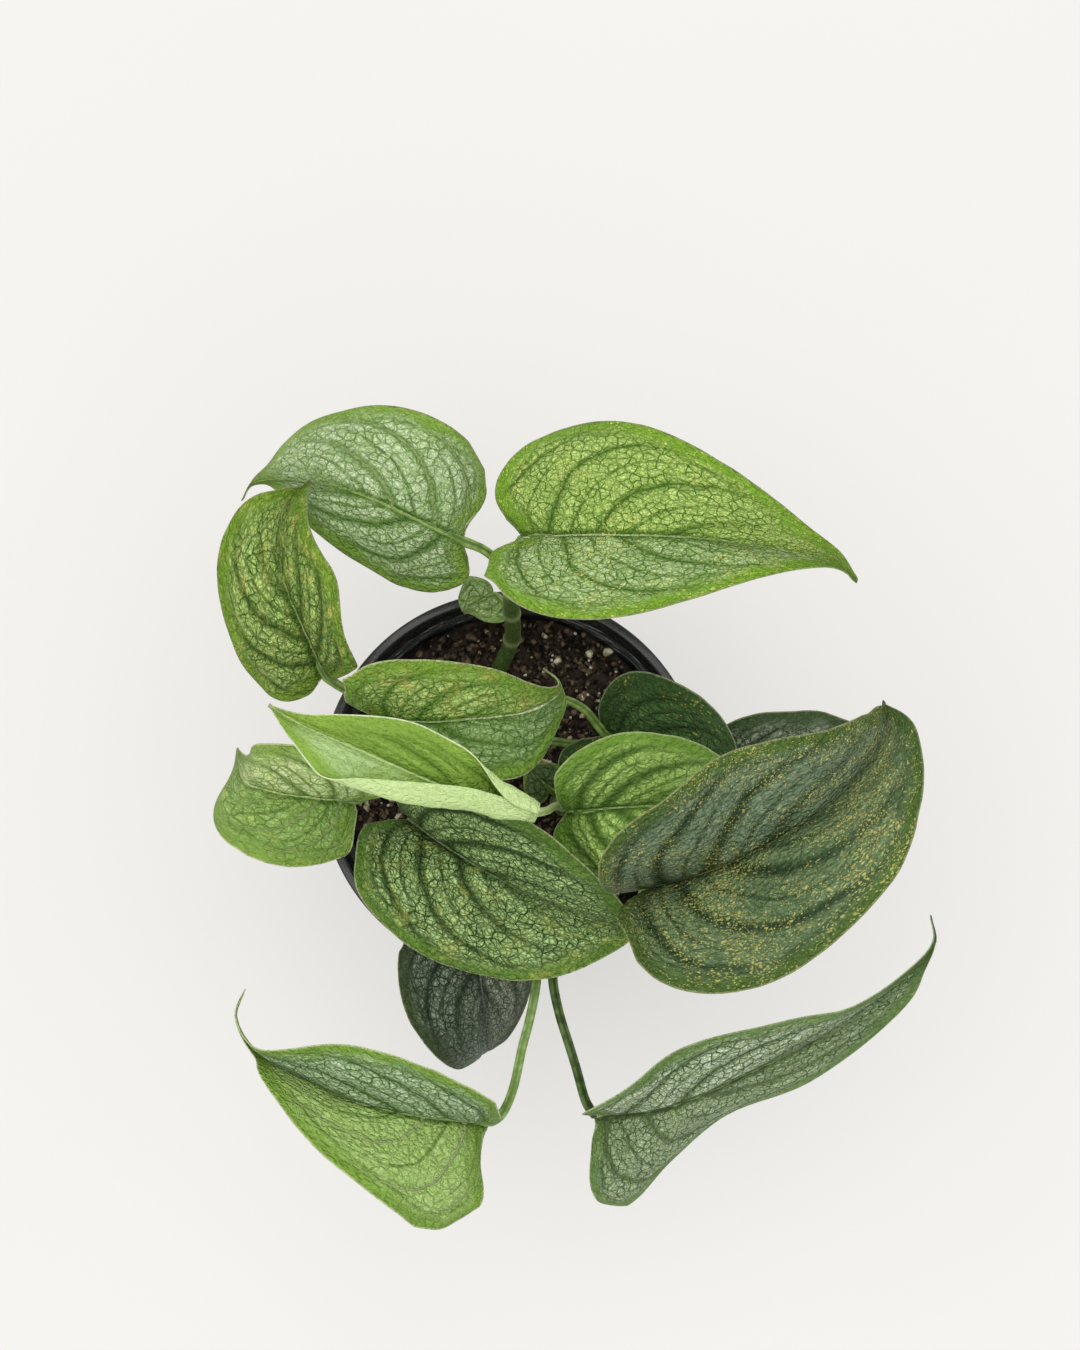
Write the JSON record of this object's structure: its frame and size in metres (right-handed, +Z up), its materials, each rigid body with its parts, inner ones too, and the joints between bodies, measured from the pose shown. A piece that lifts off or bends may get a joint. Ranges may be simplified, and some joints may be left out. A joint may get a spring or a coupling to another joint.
{
  "type": "potted monstera siltepecana",
  "caption": "Juvenile shingling aroid vine in a small black nursery pot: silver-green heart-shaped leaves with dark veins on short stems set in peaty soil.",
  "frame": {"origin": "middle of the pot's flat base, on the surface it stands on", "axes": "+Z up; +Y away from the viewer of the picture's lower edge, towards the picture's upper edge; +X to the picture's right"},
  "size_m": [0.2023, 0.2283, 0.1808],
  "materials": {
    "pot": "smooth black plastic with a satin lip",
    "soil": "loose peat and bark with white and tan grains",
    "stem": "satin green with paler rings at the nodes",
    "leaf_bright": "satin yellow-green with a darker vein net",
    "leaf_silver": "satin silver-green with a dark vein net",
    "leaf_dark": "satin dark grey-green with dark veins and fine yellow specks",
    "leaf_new": "soft pale olive, half unrolled"
  },
  "bodies": {
    "root": {"pot": "pot", "soil": "soil", "stem_rear": "stem", "stem_left": "stem", "stem_centre": "stem", "stem_right": "stem", "stem_front": "stem", "leaf_rear_right": "leaf_bright", "leaf_rear_left": "leaf_silver", "leaf_rear_small": "leaf_silver", "leaf_left_upper": "leaf_bright", "leaf_centre_rear": "leaf_silver", "leaf_newest": "leaf_new", "leaf_centre_right": "leaf_bright", "leaf_right_dark": "leaf_dark", "leaf_right_rear": "leaf_dark", "leaf_right_big": "leaf_dark", "leaf_front_big": "leaf_bright", "leaf_left_lower": "leaf_bright", "leaf_front_under": "leaf_dark", "leaf_front_left": "leaf_silver", "leaf_front_right": "leaf_silver", "leaf_centre_small": "leaf_dark"}
  },
  "joints": []
}
